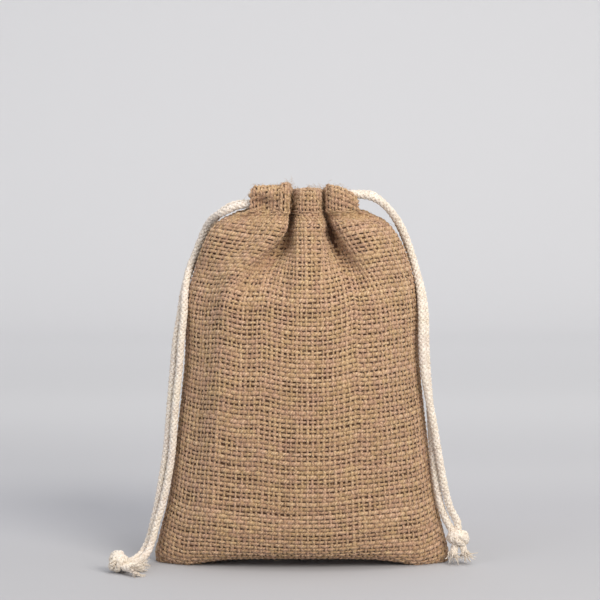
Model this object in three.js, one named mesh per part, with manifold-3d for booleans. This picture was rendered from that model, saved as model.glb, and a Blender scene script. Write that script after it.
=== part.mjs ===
// Drawstring gift pouch: two woven panels sewn at the sides and the bottom, a hem channel at the
// top of each panel, and two drawcords that run through both channels, one leaving at each side.
// Millimetres, +Z up, front towards -Y, origin under the middle of the pouch where it stands.

import * as THREE from 'three';
import { mergeVertices } from 'three/addons/utils/BufferGeometryUtils.js';
import Module from 'manifold-3d';

const wasm = await Module();
wasm.setup();

// Cloth body
const pouchHeight = 178;          // floor to the top of the panels
const footHalfWidth = 74;         // half the width at the bottom corners
const waistHalfWidth = 59;        // half the width above the middle
const neckHalfWidth = 35;         // half the width at the top of the panels
const bellyHalfDepth = 33;        // half the front-to-back depth of the filled body
const neckFlare = 0.6;            // how far the top of the panels stands out past the channels
const clothThickness = 1.6;       // panel wall
const archHeight = 5;             // how far the bottom lifts between the corners
const archHalfWidth = 58;         // where the lift ends, towards each corner
const seamGap = 0.4;              // clearance between the two panels along their seams

// Seams
const allowanceWidth = 7;         // cloth turned in past the seam
const allowanceThickness = 2;     // its two layers
const pieceGap = 0.35;            // clearance between neighbouring pieces
const threadThickness = 0.7;
const stitchLength = 6;           // two stitches, one up and one down
const stitchRise = 0.3;

// Hem channels
const channelHalfLength = 28;     // half the gathered width of a channel
const panelToChannel = 0.8;       // clearance from the top of the panels to a channel's underside
const hemThickness = 1.2;         // channel wall
const tunnelWidth = 7.6;          // inside, front to back
const tunnelHeight = 12;
const tunnelFloorThickness = 1.4;
const mouthHalfGap = 4;           // half the gap between the two channels
const innerWallHalfLength = 17;   // the inner wall stops here, so that a cord can turn behind it
const innerWallCut = 3;           // how much of the tunnel's roof and floor goes with it

// Drawcords
const cordDiameter = 4;
const cordSides = 8;
const cordWallClearance = 1;      // cord to the channel's outer wall
const lowerCordLift = 1.1;        // lower cord above the tunnel floor
const cordGap = 1;                // between the lower cord and the upper cord
const pivotOverhang = 3;          // exit pivot past the end of the channel
const stubInsertion = 18;         // length of the sliding end inside the channel
const turnStart = 14;             // where a cord starts to turn to the other channel
const turnReach = 25.5;           // furthest point of that turn, at its centreline

const cordRadius = cordDiameter / 2;
const channelFloor = pouchHeight + panelToChannel;
const tunnelFloor = channelFloor + tunnelFloorThickness;
const channelY = mouthHalfGap + hemThickness + tunnelWidth / 2;
const neckHalfDepth = channelY + tunnelWidth / 2 + hemThickness + neckFlare;
const cordY = channelY + tunnelWidth / 2 - cordWallClearance - cordRadius;
const lowerCordZ = tunnelFloor + lowerCordLift + cordRadius;
const upperCordZ = lowerCordZ + cordDiameter + cordGap;
const pivotX = channelHalfLength + pivotOverhang;
const stubEndX = channelHalfLength - stubInsertion;

// One row of the free cord routes: x, y, z of the pair's centreline, half the distance between
// the two strands, and how far the pair has twisted, in degrees. The first row is at the exit.
const leftRoute = [
  [-pivotX, 0, lowerCordZ, cordY, 0],
  [-37.4, 0, 181.2, 8.4, 4],
  [-43.2, 3.5, 177.6, 6, 6],
  [-47.8, 6.5, 172, 4, 6],
  [-51, 7.5, 165.4, 2.8, 4],
  [-54, 6.5, 158, 2.2, 2],
  [-57.6, 2.5, 149, 2.2, 6],
  [-59.8, -2.5, 139, 2.2, 18],
  [-60.8, -6.5, 128, 2.2, 32],
  [-62.6, -8.5, 114, 2.2, 45],
  [-63.8, -8.5, 100, 2.2, 50],
  [-65.2, -8.5, 86, 2.2, 45],
  [-66.4, -8.5, 72, 2.2, 45],
  [-67.6, -8.5, 58, 2.2, 50],
  [-69.8, -8.5, 44, 2.2, 50],
  [-72.6, -8.5, 30, 2.2, 40],
  [-75, -9, 21, 2.2, 30],
  [-77.2, -10, 12.6, 2.2, 30],
  [-80, -13, 6.6, 2.2, 42],
  [-84, -18.6, 3.7, 2.2, 56],
  [-88.4, -24.4, 3.6, 2.2, 56],
];
const rightRoute = [
  [pivotX, 0, upperCordZ, cordY, 0],
  [36.4, 0, 187.2, 8.4, -4],
  [41.4, 1.5, 183.6, 6.4, -6],
  [46, 2.5, 178.6, 4.6, -6],
  [49.8, 3.5, 172.6, 3.2, -4],
  [52.8, 4, 166, 2.4, -2],
  [55.4, 3.5, 158.6, 2.2, -2],
  [58.4, 1, 149, 2.2, -8],
  [60.6, -3, 139, 2.2, -18],
  [61.6, -7, 128, 2.2, -28],
  [61.8, -9, 114, 2.2, -30],
  [62.6, -9.5, 100, 2.2, -26],
  [64.4, -9, 86, 2.2, -10],
  [66, -9, 74, 2.2, 10],
  [67.4, -9, 62, 2.2, 28],
  [69, -9, 50, 2.2, 45],
  [71, -9, 38, 2.2, 60],
  [73.6, -8.6, 28, 2.2, 76],
  [77.6, -7.8, 19.8, 2.2, 90],
];
const leftKnot = { centre: [-92.4, -31, 5.9], radii: [5.9, 5.9, 5.7] };
const rightKnot = { centre: [79.6, -9, 13.4], radii: [6.3, 5.6, 4.8] };
const leftEnds = {
  front: [[-87.4, -36.4, 3.6], [-78.6, -45.4, 3.5]],
  back: [[-85.6, -31.8, 3.6], [-76.2, -26.6, 3.5]],
};
const rightEnds = {
  front: [[77.2, -10.4, 7.4], [74.6, -16.6, 3.2]],
  back: [[82, -8.6, 7.4], [86, -14, 3.2]],
};

const pouch = new THREE.Group();
const finish = {
  jute: { color: 0xb8926a, roughness: 0.95, metalness: 0 },
  thread: { color: 0xc9a678, roughness: 0.8, metalness: 0 },
  cotton: { color: 0xf1e9dc, roughness: 0.9, metalness: 0 },
};

function addMesh(name, geometry, look) {
  const mesh = new THREE.Mesh(geometry, new THREE.MeshStandardMaterial(look));
  mesh.name = name;
  pouch.add(mesh);
  return mesh;
}

// A box of unit cells carried to its place: u runs across, v along and w through the thickness.
function slab(columns, rows, place) {
  const geometry = new THREE.BoxGeometry(1, 1, 1, columns, rows, 1);
  const points = geometry.attributes.position;
  for (let i = 0; i < points.count; i += 1) {
    const at = place(points.getX(i) + 0.5, points.getY(i) + 0.5, points.getZ(i) + 0.5);
    points.setXYZ(i, at.x, at.y, at.z);
  }
  return geometry;
}

// Height, half width and half depth of the body, from the bottom seam out and up to the neck.
const profile = new THREE.CatmullRomCurve3([
  new THREE.Vector3(0, footHalfWidth - 0.8, 0),
  new THREE.Vector3(0, footHalfWidth, bellyHalfDepth * 0.3),
  new THREE.Vector3(0, footHalfWidth + 0.4, bellyHalfDepth * 0.55),
  new THREE.Vector3(pouchHeight * 0.025, footHalfWidth + 0.8, bellyHalfDepth * 0.74),
  new THREE.Vector3(pouchHeight * 0.09, footHalfWidth - 2, bellyHalfDepth * 0.88),
  new THREE.Vector3(pouchHeight * 0.2, footHalfWidth - 6.6, bellyHalfDepth * 0.96),
  new THREE.Vector3(pouchHeight * 0.38, (footHalfWidth + waistHalfWidth) / 2 - 3.4, bellyHalfDepth),
  new THREE.Vector3(pouchHeight * 0.6, waistHalfWidth, bellyHalfDepth * 0.96),
  new THREE.Vector3(pouchHeight * 0.76, waistHalfWidth - 0.6, bellyHalfDepth * 0.84),
  new THREE.Vector3(pouchHeight * 0.86, waistHalfWidth - 4.6, bellyHalfDepth * 0.7),
  new THREE.Vector3(pouchHeight * 0.93, (waistHalfWidth * 3 + neckHalfWidth) / 4 - 3.4, bellyHalfDepth * 0.57),
  new THREE.Vector3(pouchHeight * 0.975, (waistHalfWidth + neckHalfWidth) / 2 - 3.6, neckHalfDepth * 1.14),
  new THREE.Vector3(pouchHeight, neckHalfWidth, neckHalfDepth),
]);
profile.arcLengthDivisions = 400;

function archLift(x, height) {
  const inside = Math.max(0, 1 - (x / archHalfWidth) ** 4);
  return archHeight * inside * Math.exp(-height / 14);
}

// A point on the outside of the front panel: s is -1 at the left seam and 1 at the right one.
function outside(s, t) {
  const row = profile.getPointAt(THREE.MathUtils.clamp(t, 0, 1));
  const angle = s * Math.PI / 2;
  const x = row.y * Math.sin(angle);
  const height = Math.max(0, row.x);
  return new THREE.Vector3(x, -seamGap / 2 - row.z * Math.cos(angle), height + archLift(x, height));
}

function outwardNormal(s, t) {
  const step = 0.002;
  const across = outside(Math.min(1, s + step), t).sub(outside(Math.max(-1, s - step), t));
  const up = outside(s, Math.min(1, t + step)).sub(outside(s, Math.max(0, t - step)));
  return across.cross(up).normalize();
}

function panel() {
  return slab(22, 26, (u, v, w) => {
    const s = 2 * u - 1;
    const point = outside(s, v);
    const inwards = outwardNormal(s, v).multiplyScalar(-clothThickness * (1 - w));
    if (Math.abs(s) === 1) inwards.y = 0;
    if (v === 0) inwards.y = 0;
    return point.add(inwards);
  });
}

function halfWidthAt(height) {
  let low = 0.12;
  let high = 1;
  for (let i = 0; i < 30; i += 1) {
    const middle = (low + high) / 2;
    if (profile.getPointAt(middle).x < height) low = middle;
    else high = middle;
  }
  return profile.getPointAt(low).y;
}

// The turned-in allowance of a side seam, from just above the bottom to just under the neck.
const sideSeamFoot = 12;
const sideSeamTop = pouchHeight - 6;
const seamEdgeInset = clothThickness + 5 * pieceGap;

function sideSeamPoint(side, share, depth, y) {
  const z = sideSeamFoot + (sideSeamTop - sideSeamFoot) * share;
  return new THREE.Vector3(side * (halfWidthAt(z) - seamEdgeInset - depth), y, z);
}

function sideSeam(side) {
  return slab(1, 24, (u, v, w) => {
    const depth = allowanceWidth * (side > 0 ? 1 - u : u);
    return sideSeamPoint(side, v, depth, (0.5 - w) * allowanceThickness);
  });
}

const bottomSeamHalfLength = footHalfWidth - 12;

function bottomSeamPoint(share, rise, y) {
  const x = bottomSeamHalfLength * (2 * share - 1);
  return new THREE.Vector3(x, y, archLift(x, 0) + clothThickness + 2 * pieceGap + rise);
}

function bottomSeam() {
  return slab(20, 1, (u, v, w) => bottomSeamPoint(u, allowanceWidth * v, (0.5 - w) * allowanceThickness));
}

// A sewing thread along a line given by share, 0 to 1, dipping towards the cloth at each stitch.
function sewnThread(length, pointAt) {
  const count = Math.floor(length / stitchLength);
  const points = [];
  for (let i = 0; i <= count; i += 1) {
    const point = pointAt(i / count);
    point.y -= (i % 2) * stitchRise;
    points.push(point);
  }
  return roundTube(points, threadThickness / 2, 5, count);
}

const threadOffset = pieceGap + threadThickness / 2;
const seamThreadY = -(allowanceThickness / 2 + threadOffset);

function sideSeamThread(side) {
  return sewnThread(sideSeamTop - sideSeamFoot, (share) => sideSeamPoint(side, share, 2.4, seamThreadY));
}

function bottomSeamThread() {
  return sewnThread(2 * bottomSeamHalfLength, (share) => bottomSeamPoint(share, 2.4, seamThreadY));
}

function solidOf(geometry) {
  const bare = geometry.clone();
  bare.deleteAttribute('normal');
  bare.deleteAttribute('uv');
  const welded = mergeVertices(bare, 1e-4);
  const mesh = new wasm.Mesh({
    numProp: 3,
    vertProperties: new Float32Array(welded.attributes.position.array),
    triVerts: new Uint32Array(welded.index.array),
  });
  return new wasm.Manifold(mesh);
}

function geometryOf(solid) {
  const mesh = solid.getMesh();
  const geometry = new THREE.BufferGeometry();
  geometry.setAttribute('position', new THREE.BufferAttribute(mesh.vertProperties, 3));
  geometry.setIndex(new THREE.BufferAttribute(mesh.triVerts, 1));
  return geometry;
}

// An arch-topped outline in the channel's own section, y across and z up.
function archOutline(target, halfWidth, low, high, cornerRadius) {
  target.moveTo(-halfWidth, low);
  target.lineTo(halfWidth, low);
  target.lineTo(halfWidth, high - cornerRadius);
  target.absarc(halfWidth - cornerRadius, high - cornerRadius, cornerRadius, 0, Math.PI / 2);
  target.lineTo(cornerRadius - halfWidth, high);
  target.absarc(cornerRadius - halfWidth, high - cornerRadius, cornerRadius, Math.PI / 2, Math.PI);
  target.closePath();
  return target;
}

// The hem folded over and stitched down: a flat tunnel whose inner wall stops short of its ends.
function channel() {
  const outerHalf = tunnelWidth / 2 + hemThickness;
  const tunnelTop = tunnelFloor + tunnelHeight;
  const foldRadius = tunnelWidth / 2 - 0.4;
  const section = archOutline(new THREE.Shape(), outerHalf, channelFloor, tunnelTop + hemThickness,
    foldRadius + hemThickness);
  section.holes.push(archOutline(new THREE.Path(), tunnelWidth / 2, tunnelFloor, tunnelTop, foldRadius));
  const length = 2 * channelHalfLength;
  const tube = new THREE.ExtrudeGeometry(section, { depth: length, bevelEnabled: false, curveSegments: 5 });
  tube.translate(0, 0, -channelHalfLength);
  tube.applyMatrix4(new THREE.Matrix4().makeBasis(
    new THREE.Vector3(0, 1, 0), new THREE.Vector3(0, 0, 1), new THREE.Vector3(1, 0, 0)));
  tube.translate(0, -channelY, 0);
  let solid = solidOf(tube);
  for (const side of [-1, 1]) {
    const cut = new THREE.BoxGeometry(channelHalfLength, outerHalf, tunnelHeight * 4);
    cut.translate(side * (innerWallHalfLength + channelHalfLength / 2),
      -channelY + tunnelWidth / 2 - innerWallCut + outerHalf / 2, tunnelFloor);
    solid = solid.subtract(solidOf(cut));
  }
  return geometryOf(solid);
}

function channelThread() {
  const y = -(channelY + tunnelWidth / 2 + hemThickness + threadOffset);
  const z = channelFloor + tunnelFloorThickness / 2;
  const start = channelHalfLength - 1;
  return sewnThread(2 * start, (share) => new THREE.Vector3(start * (2 * share - 1), y, z));
}

// A closed round tube through the points given.
function roundTube(points, radius, sides, steps) {
  const section = new THREE.Shape();
  for (let i = 0; i < sides; i += 1) {
    const angle = (i + 0.5) * 2 * Math.PI / sides;
    if (i === 0) section.moveTo(radius * Math.cos(angle), radius * Math.sin(angle));
    else section.lineTo(radius * Math.cos(angle), radius * Math.sin(angle));
  }
  section.closePath();
  const route = new THREE.CatmullRomCurve3(points);
  return new THREE.ExtrudeGeometry(section, { steps, bevelEnabled: false, extrudePath: route });
}

function cordTube(points, steps) {
  return roundTube(points, cordRadius, cordSides, steps);
}

function straightCord(fromX, toX, y, z) {
  return cordTube([new THREE.Vector3(fromX, y, z), new THREE.Vector3(toX, y, z)], 1);
}

// The sliding end of a cord: a straight length with a round end on the exit pivot.
function cordStub(side, y, z) {
  const ball = new THREE.SphereGeometry(cordRadius, 12, 8);
  ball.rotateZ(Math.PI / 2);
  ball.translate(side * pivotX, y, z);
  const bar = new THREE.CylinderGeometry(cordRadius, cordRadius, pivotX - stubEndX, 12);
  bar.rotateZ(Math.PI / 2);
  bar.translate(side * (pivotX + stubEndX) / 2, y, z);
  return geometryOf(solidOf(bar).add(solidOf(ball)));
}

// Round the inside of the neck from the front channel to the back one, on the side given.
function cordTurn(side, z) {
  const half = [[turnStart, cordY], [turnStart + 4, cordY], [turnStart + 7.6, cordY - 1],
    [turnReach - 1.6, cordY - 4.2], [turnReach, 0]];
  const front = half.map(([x, y]) => new THREE.Vector3(side * x, -y, z));
  const back = half.slice(0, -1).reverse().map(([x, y]) => new THREE.Vector3(side * x, y, z));
  return cordTube([...front, ...back], 16);
}

// Both strands of a free pair, from its centreline, spread and twist.
function strandRoutes(route) {
  const centres = route.map(([x, y, z]) => new THREE.Vector3(x, y, z));
  const strands = [[], []];
  let normal = new THREE.Vector3(0, 0, 1);
  centres.forEach((centre, i) => {
    const before = centres[Math.max(0, i - 1)];
    const after = centres[Math.min(centres.length - 1, i + 1)];
    const along = after.clone().sub(before).normalize();
    normal = normal.addScaledVector(along, -normal.dot(along)).normalize();
    const side = along.clone().cross(normal);
    const twist = THREE.MathUtils.degToRad(route[i][4]);
    const offset = side.multiplyScalar(Math.cos(twist)).addScaledVector(normal, Math.sin(twist));
    offset.multiplyScalar(route[i][3]);
    strands[0].push(centre.clone().add(offset));
    strands[1].push(centre.clone().sub(offset));
  });
  return strands;
}

// A strand starts clear of the round end that it swings on.
function freeStrand(points) {
  const pivot = points[0];
  const start = points[1].clone().sub(pivot).setLength(cordRadius + pieceGap).add(pivot);
  return cordTube([start, ...points.slice(1)], 34);
}

function knot({ centre, radii }) {
  const ball = new THREE.SphereGeometry(1, 16, 10);
  ball.rotateX(Math.PI / 2);
  ball.scale(...radii);
  ball.translate(...centre);
  return ball;
}

// A frayed end: the cord below its knot, opening into a loose brush.
function frayedEnd([from, to]) {
  const start = new THREE.Vector3(...from);
  const along = new THREE.Vector3(...to).sub(start);
  const length = along.length();
  const profileHalf = [[0, 0], [cordRadius * 0.9, 0], [cordRadius, length * 0.45],
    [cordRadius * 1.5, length], [0, length]];
  const brush = new THREE.LatheGeometry(profileHalf.map(([r, y]) => new THREE.Vector2(r, y)), 10);
  brush.applyQuaternion(new THREE.Quaternion().setFromUnitVectors(new THREE.Vector3(0, 1, 0), along.normalize()));
  brush.translate(start.x, start.y, start.z);
  return brush;
}

addMesh('front_panel', panel(), finish.jute);
addMesh('back_panel', panel(), finish.jute).rotation.z = Math.PI;
for (const [name, side] of [['left', -1], ['right', 1]]) {
  addMesh(`${name}_side_seam`, sideSeam(side), finish.jute);
  addMesh(`${name}_seam_thread`, sideSeamThread(side), finish.thread);
}
addMesh('bottom_seam', bottomSeam(), finish.jute);
addMesh('bottom_seam_thread', bottomSeamThread(), finish.thread);
addMesh('front_channel', channel(), finish.jute);
addMesh('back_channel', channel(), finish.jute).rotation.z = Math.PI;
addMesh('front_channel_thread', channelThread(), finish.thread);
addMesh('back_channel_thread', channelThread(), finish.thread).rotation.z = Math.PI;

const cords = [
  { name: 'left', side: -1, z: lowerCordZ, route: leftRoute, knot: leftKnot, ends: leftEnds },
  { name: 'right', side: 1, z: upperCordZ, route: rightRoute, knot: rightKnot, ends: rightEnds },
];
for (const cord of cords) {
  const runStart = cord.side * (stubEndX - pieceGap);
  const runEnd = -cord.side * (turnStart - pieceGap);
  for (const [face, y] of [['front', -cordY], ['back', cordY]]) {
    addMesh(`${cord.name}_cord_${face}_stub`, cordStub(cord.side, y, cord.z), finish.cotton);
    addMesh(`${cord.name}_cord_${face}_run`, straightCord(runStart, runEnd, y, cord.z), finish.cotton);
  }
  addMesh(`${cord.name}_cord_turn`, cordTurn(-cord.side, cord.z), finish.cotton);
  const strands = strandRoutes(cord.route).sort((a, b) => a[0].y - b[0].y);
  addMesh(`${cord.name}_tail_front`, freeStrand(strands[0]), finish.cotton);
  addMesh(`${cord.name}_tail_back`, freeStrand(strands[1]), finish.cotton);
  addMesh(`${cord.name}_knot`, knot(cord.knot), finish.cotton);
  addMesh(`${cord.name}_front_end`, frayedEnd(cord.ends.front), finish.cotton);
  addMesh(`${cord.name}_back_end`, frayedEnd(cord.ends.back), finish.cotton);
}

export default pouch;
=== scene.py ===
# Drawstring gift pouch in woven jute with cotton cords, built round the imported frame.
import math
import bpy
import numpy as np
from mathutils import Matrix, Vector


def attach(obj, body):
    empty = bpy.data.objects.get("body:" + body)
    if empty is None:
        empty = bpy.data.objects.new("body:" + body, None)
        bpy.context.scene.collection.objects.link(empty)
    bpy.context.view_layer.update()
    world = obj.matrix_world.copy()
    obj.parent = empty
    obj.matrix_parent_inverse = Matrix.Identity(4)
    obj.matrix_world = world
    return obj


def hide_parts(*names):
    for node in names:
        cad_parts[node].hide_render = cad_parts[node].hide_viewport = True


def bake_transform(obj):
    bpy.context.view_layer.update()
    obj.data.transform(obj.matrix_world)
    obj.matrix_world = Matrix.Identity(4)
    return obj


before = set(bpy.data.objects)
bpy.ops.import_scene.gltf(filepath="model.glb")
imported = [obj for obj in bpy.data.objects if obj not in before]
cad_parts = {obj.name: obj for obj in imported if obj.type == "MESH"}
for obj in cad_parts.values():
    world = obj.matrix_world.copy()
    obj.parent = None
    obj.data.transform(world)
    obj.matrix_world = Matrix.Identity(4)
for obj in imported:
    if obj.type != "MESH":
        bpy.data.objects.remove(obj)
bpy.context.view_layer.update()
mm = 0.001
scene = bpy.context.scene


def linear(hexColour):
    # sRGB hex to the linear values that shaders take
    parts = [int(hexColour[i:i + 2], 16) / 255 for i in (1, 3, 5)]
    return [p / 12.92 if p <= 0.04045 else ((p + 0.055) / 1.055) ** 2.4 for p in parts] + [1]


def addNode(tree, kind, links=None, **settings):
    # a setting is a property of the node or, after "in_", the name or number of an input
    node = tree.nodes.new(kind)
    for key, value in settings.items():
        if key.startswith("in_"):
            socket = int(key[3:]) if key[3:].isdigit() else key[3:].replace("_", " ")
            node.inputs[socket].default_value = value
        else:
            setattr(node, key, value)
    for socket, source in (links or {}).items():
        tree.links.new(source, node.inputs[socket])
    return node


def unit(v):
    return v / np.maximum(np.linalg.norm(v, axis=-1, keepdims=True), 1e-12)


def smooth(x, low, high):
    t = np.clip((x - low) / (high - low), 0, 1)
    return t * t * (3 - 2 * t)


def bell(x, middle, width):
    return np.exp(-((x - middle) / width) ** 2)


def meshPiece(name, points, faces, material, uv=None, tint=None):
    # faces all have the same number of corners; uv is per corner, tint per point
    points = np.asarray(points, float).reshape(-1, 3)
    faces = np.asarray(faces, np.int32)
    mesh = bpy.data.meshes.new(name)
    mesh.vertices.add(len(points))
    mesh.vertices.foreach_set("co", points.ravel())
    mesh.loops.add(faces.size)
    mesh.loops.foreach_set("vertex_index", faces.ravel())
    mesh.polygons.add(len(faces))
    mesh.polygons.foreach_set("loop_start", np.arange(0, faces.size, faces.shape[1], dtype=np.int32))
    mesh.polygons.foreach_set("loop_total", np.full(len(faces), faces.shape[1], np.int32))
    mesh.update(calc_edges=True)
    if uv is not None:
        layer = mesh.uv_layers.new(name="alongYarn")
        layer.data.foreach_set("uv", np.asarray(uv, float).ravel())
    if tint is not None:
        values = mesh.attributes.new("tint", "FLOAT", "POINT")
        values.data.foreach_set("value", np.asarray(tint, float).ravel())
    mesh.validate()
    mesh.shade_smooth()
    mesh.materials.append(material)
    piece = bpy.data.objects.new(name, mesh)
    scene.collection.objects.link(piece)
    return piece


def noiseRow(count, period, seed):
    # smooth random values of about unit size along a line
    source = np.random.default_rng(seed)
    knots = source.normal(size=int(count / period) + 4)
    at = np.arange(count) / period
    i = at.astype(int)
    t = at - i
    t = t * t * (3 - 2 * t)
    return knots[i] * (1 - t) + knots[i + 1] * t


# elevation in degrees, distance and aim in metres, lens in mm
camera = {"elevation": 5, "distance": 1.147, "lens": 135, "aimX": -0.001, "aimZ": 0.1345, "clipStart": 0.05}


def makeCamera():
    data = bpy.data.cameras.new("camera")
    data.lens = camera["lens"]
    data.clip_start = camera["clipStart"]
    eye = bpy.data.objects.new("camera", data)
    scene.collection.objects.link(eye)
    tilt = math.radians(camera["elevation"])
    eye.location = (
        camera["aimX"],
        -camera["distance"] * math.cos(tilt),
        camera["aimZ"] + camera["distance"] * math.sin(tilt),
    )
    eye.rotation_euler = (math.pi / 2 - tilt, 0, 0)
    scene.camera = eye


makeCamera()

# The two drawcords; lengths in mm. exitLift is the height at which a pair leaves its channel.
cord = {
    "diameter": 4.0, "exitLift": {"left": 183.3, "right": 188.3}, "pivotX": 31.0, "cordY": 9.8,
    "hiddenFrom": {"left": 10.5, "right": 12.6}, "channelEnd": 28.0, "bendFrom": 27.5, "bendTo": 40.0,
    "bendDrop": 2.0, "knotShares": (0.45, 0.8),
}

# x, y, z of the pair's centreline, half the distance between its strands, twist in degrees; mm
leftRoute = [
    (-31, 0, 183.3, 9.8, 0),
    (-37.4, 0, 181.2, 8.4, 4),
    (-43.2, 3.5, 177.6, 6, 6),
    (-47.8, 6.5, 172, 4, 6),
    (-51, 7.5, 165.4, 2.8, 4),
    (-54, 6.5, 158, 2.2, 2),
    (-57.6, 2.5, 149, 2.2, 6),
    (-59.8, -2.5, 139, 2.2, 18),
    (-60.8, -6.5, 128, 2.2, 32),
    (-62.6, -8.5, 114, 2.2, 45),
    (-63.8, -8.5, 100, 2.2, 50),
    (-65.2, -8.5, 86, 2.2, 45),
    (-66.4, -8.5, 72, 2.2, 45),
    (-67.6, -8.5, 58, 2.2, 50),
    (-69.8, -8.5, 44, 2.2, 50),
    (-72.6, -8.5, 30, 2.2, 40),
    (-75, -9, 21, 2.2, 30),
    (-77.2, -10, 12.6, 2.2, 30),
    (-80, -13, 6.6, 2.2, 42),
    (-84, -18.6, 3.7, 2.2, 56),
    (-88.4, -24.4, 3.6, 2.2, 56),
]
rightRoute = [
    (31, 0, 188.3, 9.8, 0),
    (36.4, 0, 187.2, 8.4, -4),
    (41.4, 1.5, 183.6, 6.4, -6),
    (46, 2.5, 178.6, 4.6, -6),
    (49.8, 3.5, 172.6, 3.2, -4),
    (52.8, 4, 166, 2.4, -2),
    (55.4, 3.5, 158.6, 2.2, -2),
    (58.4, 1, 149, 2.2, -8),
    (60.6, -3, 139, 2.2, -18),
    (61.6, -7, 128, 2.2, -28),
    (61.8, -9, 114, 2.2, -30),
    (62.6, -9.5, 100, 2.2, -26),
    (64.4, -9, 86, 2.2, -10),
    (66, -9, 74, 2.2, 10),
    (67.4, -9, 62, 2.2, 28),
    (69, -9, 50, 2.2, 45),
    (71, -9, 38, 2.2, 60),
    (73.6, -8.6, 28, 2.2, 76),
    (77.6, -7.8, 19.8, 2.2, 90),
]


def transported(route):
    # centres, offsets' directions and angles for a pair of strands, in mm
    centres = np.array([row[:3] for row in route], float)
    ahead = np.vstack([centres[1:], centres[-1:]])
    behind = np.vstack([centres[:1], centres[:-1]])
    along = unit(ahead - behind)
    normal = np.array([0.0, 0.0, 1.0])
    strands = [[], []]
    for centre, direction, row in zip(centres, along, route):
        normal = unit(normal - direction * normal.dot(direction))
        side = np.cross(direction, normal)
        twist = math.radians(row[4])
        offset = (side * math.cos(twist) + normal * math.sin(twist)) * row[3]
        strands[0].append(centre + offset)
        strands[1].append(centre - offset)
    return sorted((np.array(strand) for strand in strands), key=lambda strand: strand[0][1])


def splinePoints(points, step):
    # a centripetal curve through the points, sampled about every step mm
    points = np.asarray(points, float)
    ends = np.vstack([2 * points[0] - points[1], points, 2 * points[-1] - points[-2]])
    knots = np.concatenate([[0], np.cumsum(np.sqrt(np.linalg.norm(np.diff(ends, axis=0), axis=1)))])
    out = []
    for i in range(1, len(ends) - 2):
        p0, p1, p2, p3 = ends[i - 1:i + 3]
        t0, t1, t2, t3 = knots[i - 1:i + 3]
        t = np.linspace(t1, t2, 13)[:-1, None]
        a1 = (t1 - t) / (t1 - t0) * p0 + (t - t0) / (t1 - t0) * p1
        a2 = (t2 - t) / (t2 - t1) * p1 + (t - t1) / (t2 - t1) * p2
        a3 = (t3 - t) / (t3 - t2) * p2 + (t - t2) / (t3 - t2) * p3
        b1 = (t2 - t) / (t2 - t0) * a1 + (t - t0) / (t2 - t0) * a2
        b2 = (t3 - t) / (t3 - t1) * a2 + (t - t1) / (t3 - t1) * a3
        out.append((t2 - t) / (t2 - t1) * b1 + (t - t1) / (t2 - t1) * b2)
    dense = np.vstack([*out, points[-1:]])
    lengths = np.concatenate([[0], np.cumsum(np.linalg.norm(np.diff(dense, axis=0), axis=1))])
    count = max(2, int(round(lengths[-1] / step)) + 1)
    wanted = np.linspace(0, lengths[-1], count)
    return np.stack([np.interp(wanted, lengths, dense[:, k]) for k in range(3)], axis=1), lengths[-1]


def framesAlong(points, first=(0.0, 0.0, 1.0)):
    # a direction, a normal and a side at each point, turning as little as they can
    along = unit(np.gradient(points, axis=0))
    normals = np.zeros_like(points)
    normal = np.array(first, float)
    for i, direction in enumerate(along):
        normal = unit(normal - direction * normal.dot(direction))
        normals[i] = normal
    return along, normals, np.cross(along, normals)


endShrink = 0.05


def tubeRing(centres, across, up, halfWidth, halfThickness, sides):
    # points, faces and corner UVs of one tube; each end is a ring shrunk almost to a point
    count = len(centres)
    angles = np.arange(sides) * 2 * math.pi / sides
    halfWidth = np.broadcast_to(halfWidth, count)
    halfThickness = np.broadcast_to(halfThickness, count)
    rings = (
        centres[:, None]
        + across[:, None] * (np.cos(angles)[None, :, None] * halfWidth[:, None, None])
        + up[:, None] * (np.sin(angles)[None, :, None] * halfThickness[:, None, None])
    )
    tip = centres[:1, None] + (rings[:1] - centres[:1, None]) * endShrink
    toe = centres[-1:, None] + (rings[-1:] - centres[-1:, None]) * endShrink
    rings = np.concatenate([tip, rings, toe])
    count += 2
    i, k = np.meshgrid(np.arange(count - 1), np.arange(sides), indexing="ij")
    near, far = i * sides, (i + 1) * sides
    nextK = (k + 1) % sides
    faces = np.stack([near + k, near + nextK, far + nextK, far + k], axis=-1)
    steps = np.linalg.norm(np.diff(rings.mean(axis=1), axis=0), axis=1)
    run = np.concatenate([[0], np.cumsum(steps)])
    u = np.stack([k, k + 1, k + 1, k], axis=-1) / sides
    v = np.stack([run[i], run[i], run[i + 1], run[i + 1]], axis=-1)
    uv = np.stack([u, v], axis=-1)
    return rings.reshape(-1, 3), faces.reshape(-1, 4), uv.reshape(-1, 4, 2)


class Bundle:
    # gathers many tubes into the arrays of one mesh
    def __init__(self):
        self.points, self.faces, self.uvs, self.tints, self.count = [], [], [], [], 0

    def add(self, points, faces, uv, tint):
        self.points.append(points)
        self.faces.append(faces + self.count)
        self.uvs.append(uv)
        self.tints.append(np.broadcast_to(tint, len(points)))
        self.count += len(points)

    def piece(self, name, material):
        # what rests on the floor is pressed flat on it
        points = np.concatenate(self.points) * mm
        points[:, 2] = np.maximum(points[:, 2], 0)
        return meshPiece(name, points, np.concatenate(self.faces), material,
                         np.concatenate(self.uvs), np.concatenate(self.tints))


def bundled(name, tubes, material):
    bundle = Bundle()
    for tube in tubes:
        bundle.add(*tube)
    return bundle.piece(name, material)


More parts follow.
